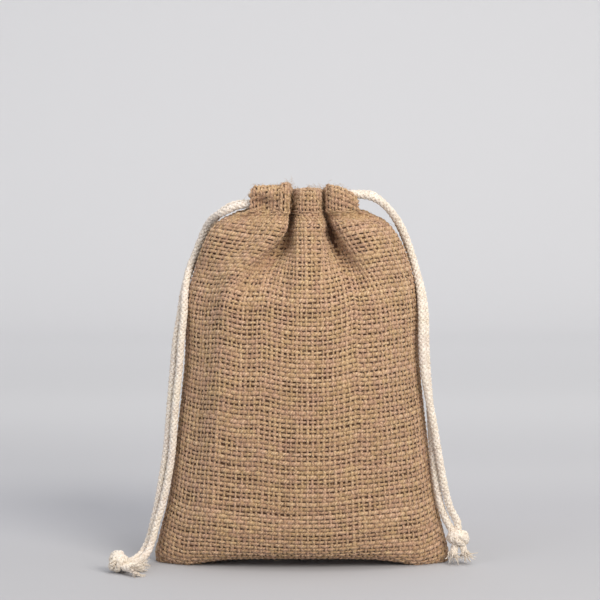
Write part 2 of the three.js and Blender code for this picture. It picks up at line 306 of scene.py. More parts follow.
# Jute: dry plant fibre loosely spun. Matt, straw to pinkish brown from yarn to yarn, streaked with
# fine pale fibres along the ply, with painted shade where the twist turns under.
jute = {
    "straw": ["#80623f", "#b69267", "#e0c49b"], "rose": ["#7c5b46", "#b38b6d", "#dfbc9c"],
    # the colours between the yarns: the fibre's own dark brown and painted shade
    "gap": ["#51382a", "#795a40"], "roughness": 0.85, "sheen": 0.18,
    "twistPitch": 3.1, "streakLength": 1.5, "streaksAround": 11.0, "hairWidth": 0.3, "hueSpan": 7.0,
}
# Cotton: soft unbleached fibre, matt and close to white, with a warm painted shade where the strands shade
# each other.
cotton = {
    "straw": ["#b9a58c", "#e6dac8", "#f6eee2"], "rose": ["#b7a08c", "#e3d6c8", "#f5ece4"],
    "roughness": 0.9, "sheen": 0.3,
    "twistPitch": 1.9, "streakLength": 1.6, "streaksAround": 5.0, "hairWidth": 0.3, "hueSpan": 16.0,
}


def colourRamp(tree, factor, colours, low, high):
    ramp = addNode(tree, "ShaderNodeValToRGB", {"Fac": factor})
    stops = ramp.color_ramp.elements
    while len(stops) < len(colours):
        stops.new(0.5)
    for k, colour in enumerate(colours):
        stops[k].position = low + (high - low) * k / (len(colours) - 1)
        stops[k].color = linear(colour)
    return ramp.outputs["Color"]


# how much of the colour value comes from the painted shade of the turning plies and from fine hairs, and
# what is taken off it
yarnShade = {
    "plies": 2, "ply": 0.07, "hair": 0.7, "offset": 0.85, "ramp": (0.2, 0.8), "hueShare": (0.38, 0.62),
    "laneShift": 97.0, "bumpHeight": 0.3, "sheenRoughness": 0.6,
}


def mathNode(tree, operation, links, **settings):
    return addNode(tree, "ShaderNodeMath", links, operation=operation, **settings).outputs[0]


def spunYarn(name, fibre, strength):
    material = bpy.data.materials.new(name)
    material.use_nodes = True
    tree = material.node_tree
    tree.nodes.clear()
    tint = addNode(tree, "ShaderNodeAttribute", attribute_name="tint").outputs["Fac"]
    alongYarn = addNode(tree, "ShaderNodeUVMap", uv_map="alongYarn").outputs["UV"]
    split = addNode(tree, "ShaderNodeSeparateXYZ", {"Vector": alongYarn})
    turns = mathNode(tree, "DIVIDE", {0: split.outputs["Y"]}, in_1=fibre["twistPitch"])
    phase = mathNode(tree, "ADD", {0: split.outputs["X"], 1: turns})
    angle = mathNode(tree, "MULTIPLY", {0: phase}, in_1=2 * math.pi * yarnShade["plies"])
    ply = mathNode(tree, "SINE", {0: angle})
    around = mathNode(tree, "MULTIPLY", {0: phase}, in_1=fibre["streaksAround"])
    length = mathNode(tree, "DIVIDE", {0: split.outputs["Y"]}, in_1=fibre["streakLength"])
    offset = mathNode(tree, "MULTIPLY", {0: tint}, in_1=yarnShade["laneShift"])
    lane = addNode(tree, "ShaderNodeCombineXYZ", {"X": around, "Y": length, "Z": offset})
    streak = addNode(tree, "ShaderNodeTexNoise", {"Vector": lane.outputs["Vector"]},
                     in_Scale=1.0, in_Detail=3.0)
    place = addNode(tree, "ShaderNodeTexCoord").outputs["Object"]
    hair = addNode(tree, "ShaderNodeTexNoise", {"Vector": place},
                   in_Scale=1 / (fibre["hairWidth"] * mm), in_Detail=2.0)
    hue = addNode(tree, "ShaderNodeTexNoise", {"Vector": place},
                  in_Scale=1 / (fibre["hueSpan"] * mm), in_Detail=3.0, in_Roughness=0.8)
    # painted shade: the turn of the plies darkens the colour in stripes where the twist goes under
    plyShade = mathNode(tree, "MULTIPLY_ADD", {0: ply, 2: streak.outputs["Fac"]}, in_1=yarnShade["ply"])
    withHair = mathNode(tree, "MULTIPLY_ADD", {0: hair.outputs["Fac"], 2: plyShade}, in_1=yarnShade["hair"])
    withTint = mathNode(tree, "ADD", {0: withHair, 1: tint})
    shade = mathNode(tree, "SUBTRACT", {0: withTint}, in_1=yarnShade["offset"])
    straw = colourRamp(tree, shade, fibre["straw"], *yarnShade["ramp"])
    rose = colourRamp(tree, shade, fibre["rose"], *yarnShade["ramp"])
    low, high = yarnShade["hueShare"]
    share = addNode(tree, "ShaderNodeMapRange", {"Value": hue.outputs["Fac"]}, in_1=low, in_2=high)
    mixed = addNode(tree, "ShaderNodeMixRGB",
                    {"Fac": share.outputs["Result"], "Color1": straw, "Color2": rose})
    bump = addNode(tree, "ShaderNodeBump", {"Height": withHair},
                   in_Strength=strength, in_Distance=yarnShade["bumpHeight"] * mm)
    shader = addNode(tree, "ShaderNodeBsdfPrincipled",
                     {"Base Color": mixed.outputs["Color"], "Normal": bump.outputs["Normal"]},
                     in_Roughness=fibre["roughness"], in_IOR=1.5, in_Sheen_Weight=fibre["sheen"],
                     in_Sheen_Roughness=yarnShade["sheenRoughness"])
    addNode(tree, "ShaderNodeOutputMaterial", {"Surface": shader.outputs["BSDF"]})
    return material


juteYarn = spunYarn("spun jute yarn", jute, 0.7)
cottonBraid = spunYarn("braided cotton", cotton, 0.5)


def looseJute(name, colours, span):
    # cloth too deep or too small to show its yarns: matt, mottled by its fibres
    material = bpy.data.materials.new(name)
    material.use_nodes = True
    tree = material.node_tree
    shader = tree.nodes["Principled BSDF"]
    place = addNode(tree, "ShaderNodeTexCoord")
    fibre = addNode(tree, "ShaderNodeTexNoise", {"Vector": place.outputs["Object"]},
                    in_Scale=1 / (span * mm), in_Detail=4.0)
    tree.links.new(colourRamp(tree, fibre.outputs["Fac"], colours, 0.35, 0.7), shader.inputs["Base Color"])
    shader.inputs["Roughness"].default_value = 0.95
    return material


# Between the yarns the cloth is dark, the fibre's own brown deepened by painted shade, since it is never in
# full light;
# the turned-in seams and their thread are the same fibre in daylight.
juteShadedGround = looseJute("jute fibre and painted shade between yarns", jute["gap"], 1.2)
seamLooks = {
    "side_seam": looseJute("jute seam allowance", jute["straw"], 0.8),
    "bottom_seam": looseJute("jute bottom seam", jute["straw"], 0.8),
    "seam_thread": looseJute("jute sewing thread", jute["rose"], 0.4),
}
for nodeName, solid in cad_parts.items():
    for ending, look in seamLooks.items():
        if nodeName.endswith(ending):
            solid.data.materials.clear()
            solid.data.materials.append(look)

# Braided cords: eight fine strands, four each way round, crossing over and under; lengths in mm
braid = {
    "strands": 4, "pitch": 11.0, "radius": 1.32, "weaveDepth": 0.26, "step": 0.8,
    "strandHalfWidth": 0.825, "strandHalfThickness": 0.561, "strandSides": 6,
    "coreShare": 0.8, "coreSides": 8, "tint": 0.5, "tintSpread": 0.06, "coreShadeTint": 0.2,
}


def braidTubes(route, scale):
    # two opposed sets of strands on a round core, from route points in mm
    centres, length = splinePoints(route, braid["step"])
    along, normals, sides = framesAlong(centres)
    run = np.linspace(0, length, len(centres))
    turned = 2 * math.pi * run / braid["pitch"]
    halfWidth = braid["strandHalfWidth"] * scale
    halfThickness = braid["strandHalfThickness"] * scale
    tubes = []
    for way in (-1, 1):
        for k in range(braid["strands"]):
            angle = way * turned + 2 * math.pi * k / braid["strands"]
            lift = braid["weaveDepth"] * np.cos(turned * braid["strands"] + math.pi * k) * way
            radial = normals * np.cos(angle)[:, None] + sides * np.sin(angle)[:, None]
            path = centres + radial * ((braid["radius"] + lift) * scale)[:, None]
            tangent = unit(np.gradient(path, axis=0))
            across = unit(np.cross(tangent, radial))
            up = unit(np.cross(across, tangent))
            tube = tubeRing(path, across, up, halfWidth, halfThickness, braid["strandSides"])
            tubes.append((*tube, braid["tint"] + braid["tintSpread"] * math.sin(k * 2.4 + way)))
    # painted shade: the core, seen only between the strands, takes the darkest, warm end of the cotton
    # colours
    core = braid["radius"] * braid["coreShare"] * scale
    tubes.append((*tubeRing(centres, sides, normals, core, core, braid["coreSides"]), braid["coreShadeTint"]))
    return tubes, centres, length


def braidedCord(name, route):
    tubes, centres, length = braidTubes(route, 1.0)
    piece = bundled(name, tubes, cottonBraid)
    return piece, centres, length


def channelExit(centres):
    # the point of a cord's path where it leaves its channel
    return np.abs(np.abs(centres[:, 0]) - cord["channelEnd"]).argmin()


# Knots: both strands of a pair wound round and pulled tight. centre and radii in mm, and the way
# the windings start and turn.
knots = {
    "left": {
        "centre": (-92.4, -31, 5.9), "radii": (5.9, 5.9, 5.7),
        "first": (0.2, -0.5, 0.85), "axis": (0.75, -0.2, 0.5),
    },
    "right": {
        "centre": (79.6, -9, 13.4), "radii": (6.3, 5.6, 4.8),
        "first": (-0.6, -0.5, 0.6), "axis": (0.25, 0.3, 0.9),
    },
}
# turns, then angles in radians; strand is the radius of one strand, tuck how far its ends go in
winding = {
    "turns": 2.3, "swing": 1.15, "apart": 0.42, "strand": 1.75, "points": 60,
    "tuck": 0.35, "tuckOver": 0.12,
}
# from, to: cut ends of the strands, opened into their fibres
cordTips = {
    "left": {
        "front": [(-87.4, -36.4, 3.6), (-78.6, -45.4, 3.5)],
        "back": [(-85.6, -31.8, 3.6), (-76.2, -26.6, 3.5)],
    },
    "right": {
        "front": [(77.9, -10, 8.8), (76.4, -13.4, 2)],
        "back": [(82.2, -9, 8.8), (84.2, -11.6, 2)],
    },
}
fray = {
    "fibres": 64, "length": 4.4, "lengths": (0.5, 1.15), "radius": 0.25, "radii": (0.7, 1.3), "points": 9,
    "spread": 0.6, "scatter": 0.12, "curl": 1.44, "wave": 0.5, "rootRadius": 1.6, "floor": 0.3,
    "braidBefore": 2.5, "braidShares": (0.3, 0.5), "from": 0.35, "sides": 4, "tint": (0.4, 0.6),
}


def intoKnot(strand, sideName):
    # the last stretch, to just inside the knot
    ahead = np.array(knots[sideName]["centre"]) - strand[-1]
    return [strand[-1] + ahead * share for share in cord["knotShares"]]


cordRows = []
for sideName, way, route in (("left", -1, leftRoute), ("right", 1, rightRoute)):
    z = cord["exitLift"][sideName]
    for face, strand in zip(("front", "back"), transported(route)):
        hidden = cord["hiddenFrom"][sideName]
        inside = np.array([[way * x, strand[0][1], z] for x in (hidden, (hidden + cord["pivotX"]) / 2)])
        name = f"{sideName}_cord_{face}"
        piece, centres, length = braidedCord(name, np.vstack([inside, strand, intoKnot(strand, sideName)]))
        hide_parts(f"{sideName}_tail_{face}", f"{sideName}_cord_{face}_stub")
        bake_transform(piece)
        cordRows.append((piece, sideName, face, centres, length))
        print(name, "length", round(length, 1), "mm")


def turnedAbout(v, axis, angle):
    axis = unit(np.asarray(axis, float))
    v = np.asarray(v, float)
    return (v * math.cos(angle) + np.cross(axis, v) * math.sin(angle)
            + axis * axis.dot(v) * (1 - math.cos(angle)))


def windings(knot, shift):
    # a path wound over a ball, each turn leaning away from the last
    radii = np.array(knot["radii"]) - winding["strand"]
    start = unit(np.array(knot["first"], float))
    side = unit(np.cross(start, knot["axis"]))
    points = []
    for t in np.linspace(0, 1, winding["points"]):
        angle = 2 * math.pi * winding["turns"] * t
        lean = winding["swing"] * (t - 0.5) + shift
        first = turnedAbout(start, knot["axis"], lean * 0.3)
        other = turnedAbout(side, start, lean * 2)
        over = winding["tuckOver"]
        tuck = 1 - winding["tuck"] * (smooth(t, 1 - over, 1) + 1 - smooth(t, 0, over))
        ball = first * math.cos(angle) + other * math.sin(angle)
        points.append(np.array(knot["centre"]) + ball * radii * tuck)
    return points


def knotPiece(name, knot):
    tubes = []
    for shift in (-winding["apart"] / 2, winding["apart"] / 2):
        tubes += braidTubes(windings(knot, shift), winding["strand"] / 2)[0]
    return bundled(name, tubes, cottonBraid)


def tipPiece(name, ends, seed):
    # a short stretch of braid and the fibres that it opens into
    source = np.random.default_rng(seed)
    start, stop = (np.array(p, float) for p in ends)
    ahead = unit(stop - start)
    reach = np.linalg.norm(stop - start)
    opened = [start + ahead * reach * share for share in fray["braidShares"]]
    tubes = braidTubes([start - ahead * fray["braidBefore"], start, *opened], 1)[0]
    side = unit(np.cross(ahead, (0.1, 0.2, 1)))
    up = np.cross(side, ahead)
    s = np.linspace(0, 1, fray["points"])[:, None]
    for _ in range(fray["fibres"]):
        turn = source.uniform(0, 2 * math.pi)
        out = side * math.cos(turn) + up * math.sin(turn)
        away = math.sqrt(source.uniform(0, 1))
        direction = unit(ahead + out * away * fray["spread"] + source.normal(size=3) * fray["scatter"])
        bend = source.normal(size=3) * fray["curl"]
        length = fray["length"] * source.uniform(*fray["lengths"])
        root = start + ahead * reach * fray["from"] + out * away * fray["rootRadius"]
        line = root + direction * s * length + bend * s ** 2 + out * fray["wave"] * np.sin(s * 5 + turn)
        line[:, 2] = np.maximum(line[:, 2], fray["floor"] + 0.25 * source.uniform(0, 1))
        _, normals, sides = framesAlong(line, up)
        width = fray["radius"] * source.uniform(*fray["radii"]) * (1 - 0.5 * s[:, 0])
        tube = tubeRing(line, sides, normals, width, width, fray["sides"])
        tubes.append((*tube, source.uniform(*fray["tint"])))
    return bundled(name, tubes, cottonBraid)


for sideName in ("left", "right"):
    tied = knotPiece(f"{sideName}_tied_knot", knots[sideName])
    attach(tied, f"{sideName}_tail")
    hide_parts(f"{sideName}_knot")
    for face, seed in (("front", 31), ("back", 47)):
        tip = tipPiece(f"{sideName}_{face}_frayed_tip", cordTips[sideName][face], seed + len(sideName))
        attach(tip, f"{sideName}_tail")
        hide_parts(f"{sideName}_{face}_end")
    for piece, owner, face, centres, length in cordRows:
        if owner == sideName:
            tuple(centres[channelExit(centres)] * mm)

# One face of the pouch, from the bottom seam under it, up the wall, over the fold and down the hem.
# Lengths in mm. A grid of points follows the cloth, perPitch of them to each thread: a plain weave of
# 10 to 11 threads to the inch. climb is how far the cross threads follow the cloth's own length.
pouch = {
    "warps": 57, "weftPitch": 2.42, "perPitch": 3, "climb": 0.6, "neck": 178.0, "lipHalf": 28.0,
    "arch": 5.0, "archHalf": 58.0, "archFade": 14.0, "pleatFade": 21.0, "slitFrom": 173.5, "slitTo": 181.0,
    "closeFrom": 19.0, "spread": 0.8, "hemEnd": 179.6, "hemCut": 16.5, "lipDepth": 4.4, "cordToHem": 2.6,
}

# z, half width, half depth, from the bottom seam to the neck
profile = [
    (0, 73.2, 0.4), (0, 74, 9.9), (0, 74.4, 18.15), (4.45, 74.8, 24.4), (16, 72, 29),
    (35.6, 67.4, 31.7), (67.6, 63.1, 33), (106.8, 59, 31.7), (135.3, 58.4, 27.7),
    (153.1, 54.4, 23.1), (165.5, 49.6, 18.8), (173.6, 43.4, 16.6), (178, 35, 14.6),
]

# plan of the gathered mouth, seen from above: x and distance out from the middle
pleats = {
    "front": [
        (-26.4, 12.6), (-24, 13.6), (-20.5, 12.8), (-16, 13.6), (-12, 15.4), (-8.6, 16.6), (-6.6, 14),
        (-7.8, 6), (-7, 1.2), (-4.6, 0.8), (-3.2, 9), (-1.6, 14.2), (3, 15.8), (7.4, 14.6), (9.2, 10),
        (10, 3), (11, 1.6), (12, 5), (12.7, 11), (15.4, 14), (20.5, 14.4), (25, 13.4), (28.5, 12.6),
    ],
    "back": [
        (-26.4, 12.6), (-24, 13.8), (-19.5, 14.6), (-16.5, 11.5), (-15.4, 6), (-14, 5.2), (-12.8, 10),
        (-9, 14.6), (-5, 14), (-2.6, 9.6), (-1.4, 5.2), (0.2, 5), (1.4, 10), (5, 15), (10, 14.4),
        (13.6, 10.5), (15.2, 6.4), (16.6, 6.6), (18, 11), (21.5, 14.4), (25.5, 13.6), (28.5, 12.6),
    ],
}
# height of the fold along the mouth: x, z
lipTops = {
    "front": [
        (-26.4, 190.6), (-24.5, 193), (-12, 192.8), (-9, 194.4), (-6.6, 193.6), (-5, 189.8), (-2.6, 190.8),
        (3, 191.8), (8, 191.2), (11, 190), (14, 193), (18, 192.7), (23, 191), (28.5, 187.6),
    ],
    "back": [
        (-26.4, 189), (-23.5, 191.4), (-17, 190.8), (-12, 191), (-8, 190), (-5, 189.2), (0, 189.2),
        (5, 190.8), (9, 190), (12, 189.2), (17, 190), (22, 190.6), (28.5, 187),
    ],
}

# the left shoulder slumps in towards the middle: where, how far up and down, and by how much
shoulder = {"height": 163.0, "reach": 18.0, "in": 2.2, "from": 0.3}

# soft folds below the gathers: points x, z down the fold, how far it stands out, how wide it is
folds = {
    "front": [
        ([(-11, 178), (-17, 167), (-25, 157), (-32, 147), (-36, 132)], 2.0, 5.0),
        ([(-8, 163), (-15, 158), (-24, 152), (-32, 138)], -1.4, 4.0),
        ([(-34, 146), (-37, 120), (-39, 95), (-43, 55), (-46, 30)], 1.5, 7.5),
        ([(-48, 150), (-50, 110), (-54, 60)], -1.2, 6.0),
        ([(14, 168), (20, 158), (27, 146)], -1.9, 5.5),
        ([(24, 176), (32, 162), (36, 146), (36, 110), (39, 70)], 1.3, 8.0),
        ([(2, 176), (3, 150), (2, 128)], 0.9, 8.0),
        ([(8, 130), (-6, 112), (-24, 104)], -0.7, 9.0),
        ([(20, 60), (-5, 48), (-34, 44)], -0.8, 10.0),
    ],
    "back": [
        ([(-20, 176), (-27, 160), (-34, 142), (-38, 110)], 1.8, 6.0),
        ([(-14, 172), (-17, 156), (-22, 138)], -1.7, 5.0),
        ([(-7, 176), (-9, 150), (-8, 120)], 1.2, 8.0),
        ([(0, 172), (0, 156), (2, 140)], -1.6, 5.0),
        ([(8, 177), (11, 156), (15, 130), (18, 95)], 1.6, 7.0),
        ([(16, 172), (21, 156), (28, 138)], -1.6, 5.0),
        ([(24, 176), (34, 158), (40, 130), (43, 80)], 1.4, 7.0),
        ([(30, 70), (4, 56), (-30, 60)], -0.8, 10.0),
    ],
}


def alongCurve(points, count):
    # evenly spaced points, at the middles of count equal lengths
    steps = np.linalg.norm(np.diff(points, axis=0), axis=1)
    lengths = np.concatenate([[0], np.cumsum(steps)])
    wanted = (np.arange(count) + 0.5) / count * lengths[-1]
    return np.stack([np.interp(wanted, lengths, points[:, k]) for k in range(points.shape[1])], axis=1)


columns = pouch["warps"] * pouch["perPitch"]
rowStep = pouch["weftPitch"] / pouch["perPitch"]


def faceRows(face):
    # a grid of points over one face, rows going up and columns from left to right, y positive outward
    path, _ = splinePoints([(row[1], row[2], row[0]) for row in profile], rowStep)
    angle = np.linspace(-math.pi / 2, math.pi / 2, 361)
    plan = np.array(pleats[face], float)
    closed = plan.copy()
    nearEnd = smooth(np.abs(plan[:, 0]), pouch["closeFrom"], pouch["lipHalf"] + 0.5)
    closed[:, 1] *= np.sqrt(np.clip(1 - nearEnd ** 2, 0, 1))
    level = np.zeros((len(plan), 1))
    openCurve = alongCurve(splinePoints(np.hstack([plan, level]), 0.4)[0], columns)
    closedCurve = alongCurve(splinePoints(np.hstack([closed, level]), 0.4)[0], columns)
    neckHalfDepth = profile[-1][2]
    rows = []
    for a, b, z in path:
        ring = np.stack([a * np.sin(angle), b * np.cos(angle)], axis=1)
        plain = alongCurve(ring, columns)
        slump = shoulder["in"] * bell(z, shoulder["height"], shoulder["reach"])
        plain[:, 0] += slump * smooth(-plain[:, 0] / a, shoulder["from"], 1)
        below = max(0.0, pouch["neck"] - 2 - z)
        weight = bell(below, 0, pouch["pleatFade"])
        gather = closedCurve + (openCurve - closedCurve) * smooth(z, pouch["slitFrom"], pouch["slitTo"])
        ends = np.where(gather[:, 0] < 0, -plan[0, 0], plan[-1, 0])
        reach = np.clip(np.abs(gather[:, 0]) / ends, 0, 1)
        spread = 1 + (a / ends - 1) * reach ** pouch["spread"]
        gathered = np.stack([gather[:, 0] * spread, gather[:, 1] * max(1, b / neckHalfDepth)], axis=1)
        xy = plain * (1 - weight) + gathered * weight
        arch = np.clip(1 - (xy[:, 0] / pouch["archHalf"]) ** 4, 0, 1)
        lift = pouch["arch"] * arch * math.exp(-z / pouch["archFade"])
        rows.append(np.stack([xy[:, 0], xy[:, 1], z + lift], axis=1))
    return evenPitch(foldedOut(np.array(rows), face)), openCurve


# where the folds fade out: heights in mm at the foot and at the neck, share of the half row at the sides
foldFade = {"foot": (8, 24), "neck": (170, 178), "edge": (0.9, 1.0)}


def foldedOut(grid, face):
    # soft ridges and hollows, pushed out along the cloth's own normal
    out = gridNormals(grid)
    out *= np.sign(out[..., 1:2].mean())
    x, z = grid[..., 0], grid[..., 2]
    push = np.zeros_like(x)
    for line, height, width in folds[face]:
        points, _ = splinePoints([(px, 0, pz) for px, pz in line], 1.5)
        away = np.full(x.shape, 1e9)
        for px, _, pz in points:
            away = np.minimum(away, (x - px) ** 2 + (z - pz) ** 2)
        push += height * np.exp(-away / width ** 2)
    keep = smooth(z, *foldFade["foot"]) * (1 - smooth(z, *foldFade["neck"]))
    edge = np.abs(np.linspace(-1, 1, grid.shape[1]))
    push *= keep * (1 - smooth(edge, *foldFade["edge"]))
    return grid + out * push[..., None]


def evenPitch(grid):
    # yarns are nearly as long as their neighbours, so the cross threads climb towards the sides
    steps = np.linalg.norm(np.diff(grid, axis=0), axis=2)
    lengths = np.vstack([np.zeros(grid.shape[1]), np.cumsum(steps, axis=0)])
    share = np.linspace(0, 1, len(grid))
    even = np.empty_like(grid)
    for c in range(grid.shape[1]):
        own = lengths[:, c] / lengths[-1, c]
        own = own * pouch["climb"] + share * (1 - pouch["climb"])
        for k in range(3):
            even[:, c, k] = np.interp(share, own, grid[:, c, k])
    return even


# A cord inside its channel, in mm: it runs to the far side, then turns round it, and hangs lower
# where the gathers hold it in the middle.
channelRun = {
    "to": 14.0, "behind": 2.6, "reach": 2.3, "turnReach": 25.5, "points": 15,
    "sag": {"left": 0.7, "right": 1.7}, "sagWithin": 12.6, "sagFade": 4.0,
}


def cordDepth(face, x):
    # how far out from the middle a cord runs at x, just behind the nearest of the channel's outer wall
    plan = splinePoints([(px, out, 0) for px, out in pleats[face]], 0.3)[0]
    near = plan[np.abs(plan[:, 0] - x) < channelRun["reach"]]
    return min(max(near[:, 1].min(), pouch["lipDepth"]) - channelRun["behind"], cord["cordY"])


# The channel's outer wall, in mm. It bulges, leans out towards the top and is dented on the front left;
# rows is about the length of the cloth above the neck.
lip = {
    "rows": 30.0, "thickness": 3.2, "bulge": 0.9, "leanFrom": 184, "leanTo": 190, "lean": 0.6,
    "frontLean": {"x": -17, "width": 6.5, "out": 3.0},
    "frontDent": {"x": -20.5, "z": 185.6, "width": 3.2, "height": 2.6, "in": 2.6},
    "outerPoints": 9, "foldPoints": 6, "innerPoints": 6, "foldIn": 0.02, "innerShare": 0.93,
}


def lipRows(face, lastRow, openCurve):
    # from the neck up the channel's outer wall, over the fold and down its inner wall
    tops = np.array(lipTops[face], float)
    paths = []
    for c in range(columns):
        x, out = openCurve[c, 0], max(openCurve[c, 1], pouch["lipDepth"])
        start = lastRow[c]
        top = np.interp(x, tops[:, 0], tops[:, 1])
        inner = min(cordDepth(face, x) - pouch["cordToHem"], out - lip["thickness"])
        radius = (out - inner) / 2
        lean, dent = lip["lean"], 0
        if face == "front":
            hollow = lip["frontDent"]
            lean = lip["frontLean"]["out"] * bell(x, lip["frontLean"]["x"], lip["frontLean"]["width"])
            dent = hollow["in"] * bell(x, hollow["x"], hollow["width"])
        wall = []
        for z in np.linspace(start[2] + 0.6, top - radius, lip["outerPoints"]):
            into = smooth(z, start[2], pouch["slitTo"])
            bulge = lip["bulge"] * math.sin(math.pi * (z - start[2]) / (top - start[2]))
            bulge += lean * smooth(z, lip["leanFrom"], lip["leanTo"])
            bulge -= dent * bell(z, lip["frontDent"]["z"], lip["frontDent"]["height"])
            wall.append((start[0] + (x - start[0]) * into, start[1] + (out - start[1]) * into + bulge, z))
        last = wall[-1]
        reach = last[1] - inner
        for turn in np.linspace(0.15, 0.85, lip["foldPoints"]) * math.pi:
            wall.append((x * (1 - lip["foldIn"] * turn), inner + reach * (0.5 + 0.5 * math.cos(turn)),
                         last[2] + radius * math.sin(turn)))
        for z in np.linspace(top - radius - 0.5, pouch["hemEnd"], lip["innerPoints"]):
            wall.append((x * lip["innerShare"], inner - 0.2, z))
        paths.append(splinePoints([start, *wall], 0.4)[0])
    count = int(lip["rows"] / rowStep)
    rows = []
    for path in paths:
        lengths = np.concatenate([[0], np.cumsum(np.linalg.norm(np.diff(path, axis=0), axis=1))])
        wanted = np.arange(1, count + 1) / count * lengths[-1]
        rows.append(np.stack([np.interp(wanted, lengths, path[:, k]) for k in range(3)], axis=1))
    return np.array(rows).transpose(1, 0, 2)


def gridNormals(grid):
    alongRow = np.gradient(grid, axis=1)
    upColumn = np.gradient(grid, axis=0)
    return unit(np.cross(alongRow, upColumn))


def faceGrid(face):
    lower, openCurve = faceRows(face)
    upper = lipRows(face, lower[-1], openCurve)
    grid = np.concatenate([lower, upper])
    count = len(grid) // pouch["perPitch"] * pouch["perPitch"]
    grid = grid[:count]
    if face == "front":
        grid[..., 1] *= -1
    return grid, len(lower)


# Running stitch that closes a channel, in mm: over one thread and under the next. The cross threads
# beside it are squeezed apart, over pullReach up and down.
stitch = {
    "height": 180.4, "length": 3.2, "radius": 0.34, "lift": 0.55, "rise": 0.55, "step": 0.5, "sides": 6,
    "hemRows": 24, "tint": 0.55, "pullReach": 2.2, "pull": 0.6, "thinning": 0.3, "pulledBelow": 12,
}
# Yarns, in mm: flat in section, thick and thin along their length, wandering a little from their line.
# Periods are in grid points. thinnest and spread, with step and of, make some yarns thicker than others.
# tailRows is how far down the inner wall a warp goes where the hem is cut away.
yarn = {
    "halfThickness": 0.46, "relief": 0.42, "sides": 5, "unevenness": 0.22, "roomShare": 0.52,
    "tint": 0.5, "tintSpread": 0.05, "tintLimit": 1.3,
    "tailRows": 12, "innerFrom": 8, "groundIn": 0.5, "floor": 0.1,
}
warpYarn = {
    "half": 0.72, "wander": 0.26, "wanderPeriod": 17, "slubPeriod": 9,
    "thinnest": 0.94, "spread": 0.12, "step": 7, "of": 5,
}
weftYarn = {
    "half": 0.98, "wander": 0.17, "wanderPeriod": 13, "slubPeriod": 11,
    "thinnest": 0.96, "spread": 0.14, "step": 5, "of": 7,
}


def yarnTint(seed):
    limit = yarn["tintLimit"]
    return yarn["tint"] + yarn["tintSpread"] * max(-limit, min(limit, noiseRow(3, 1, seed)[0]))


def slubs(kind, count, index, seed):
    # thick and thin places along a spun yarn, a little more or less in each yarn
    along = 1 + yarn["unevenness"] * np.clip(noiseRow(count, kind["slubPeriod"], seed), -1.6, 2.2)
    share = (index * kind["step"]) % kind["of"] / (kind["of"] - 1)
    return along * (kind["thinnest"] + kind["spread"] * share)


def yarnTube(line, out, rise, drift, half, thick, room):
    # one yarn of the weave: its line through the cloth, lifted over and under and drawn aside
    across = unit(np.cross(out, unit(np.gradient(line, axis=0))))
    centres = line + out * rise[:, None] + across * drift(across)[:, None]
    up = unit(np.cross(unit(np.gradient(centres, axis=0)), across))
    width = np.minimum(half * thick, room * yarn["roomShare"])
    return tubeRing(centres, across, up, width, yarn["halfThickness"] * thick, yarn["sides"])


def warpTubes(grid, outward, seedBase):
    # the yarns that run up the cloth, over the fold and down the hem
    per = pouch["perPitch"]
    folded = grid[..., 2].argmax(axis=0)
    tubes = []
    for i in range(pouch["warps"]):
        c = per * i + 1
        last = len(grid)
        if abs(grid[folded[c], c, 0]) > pouch["hemCut"]:
            last = folded[c] + yarn["tailRows"]
        rise = yarn["relief"] * np.cos(math.pi / per * (np.arange(last) - 1)) * (-1) ** i
        drift = warpYarn["wander"] * noiseRow(last, warpYarn["wanderPeriod"], seedBase + i)
        thick = slubs(warpYarn, last, i, seedBase + 200 + i)
        room = np.linalg.norm(np.gradient(grid[:last], axis=1)[:, c], axis=1) * per
        tube = yarnTube(grid[:last, c], outward[:last, c], rise, lambda across: drift,
                        warpYarn["half"], thick, room)
        tubes.append((*tube, yarnTint(seedBase + 400 + i)))
    return tubes


def weftTubes(grid, outward, neckRow, seedBase):
    # the yarns that run across the cloth, cut away at the ends of the hem's inner wall
    per = pouch["perPitch"]
    foldRow = np.median(grid[..., 2].argmax(axis=0))
    tubes = []
    for j in range(len(grid) // per):
        r = per * j + 1
        inside = r > neckRow + yarn["innerFrom"] and foldRow < r
        keep = np.arange(columns)
        if inside:
            keep = keep[np.abs(grid[r, :, 0]) < pouch["hemCut"]]
        line = grid[r, keep]
        rise = -yarn["relief"] * np.cos(math.pi / per * (keep - 1)) * (-1) ** j
        wander = weftYarn["wander"] * noiseRow(len(keep), weftYarn["wanderPeriod"], seedBase + 1000 + j)
        fromStitch = line[:, 2] - stitch["height"]
        held = 0 if inside or r < neckRow - stitch["pulledBelow"] else 1
        pulled = bell(fromStitch, 0, stitch["pullReach"]) * held
        aside = stitch["pull"] * pulled * np.sign(fromStitch)
        thick = slubs(weftYarn, len(keep), j, seedBase + 1400 + j) * (1 - stitch["thinning"] * pulled)
        room = np.linalg.norm(np.gradient(grid, axis=0)[r, keep], axis=1) * per
        tube = yarnTube(line, outward[r, keep], rise, lambda across: wander + aside * np.sign(across[:, 2]),
                        weftYarn["half"], thick, room)
        tubes.append((*tube, yarnTint(seedBase + 1800 + j)))
    return tubes


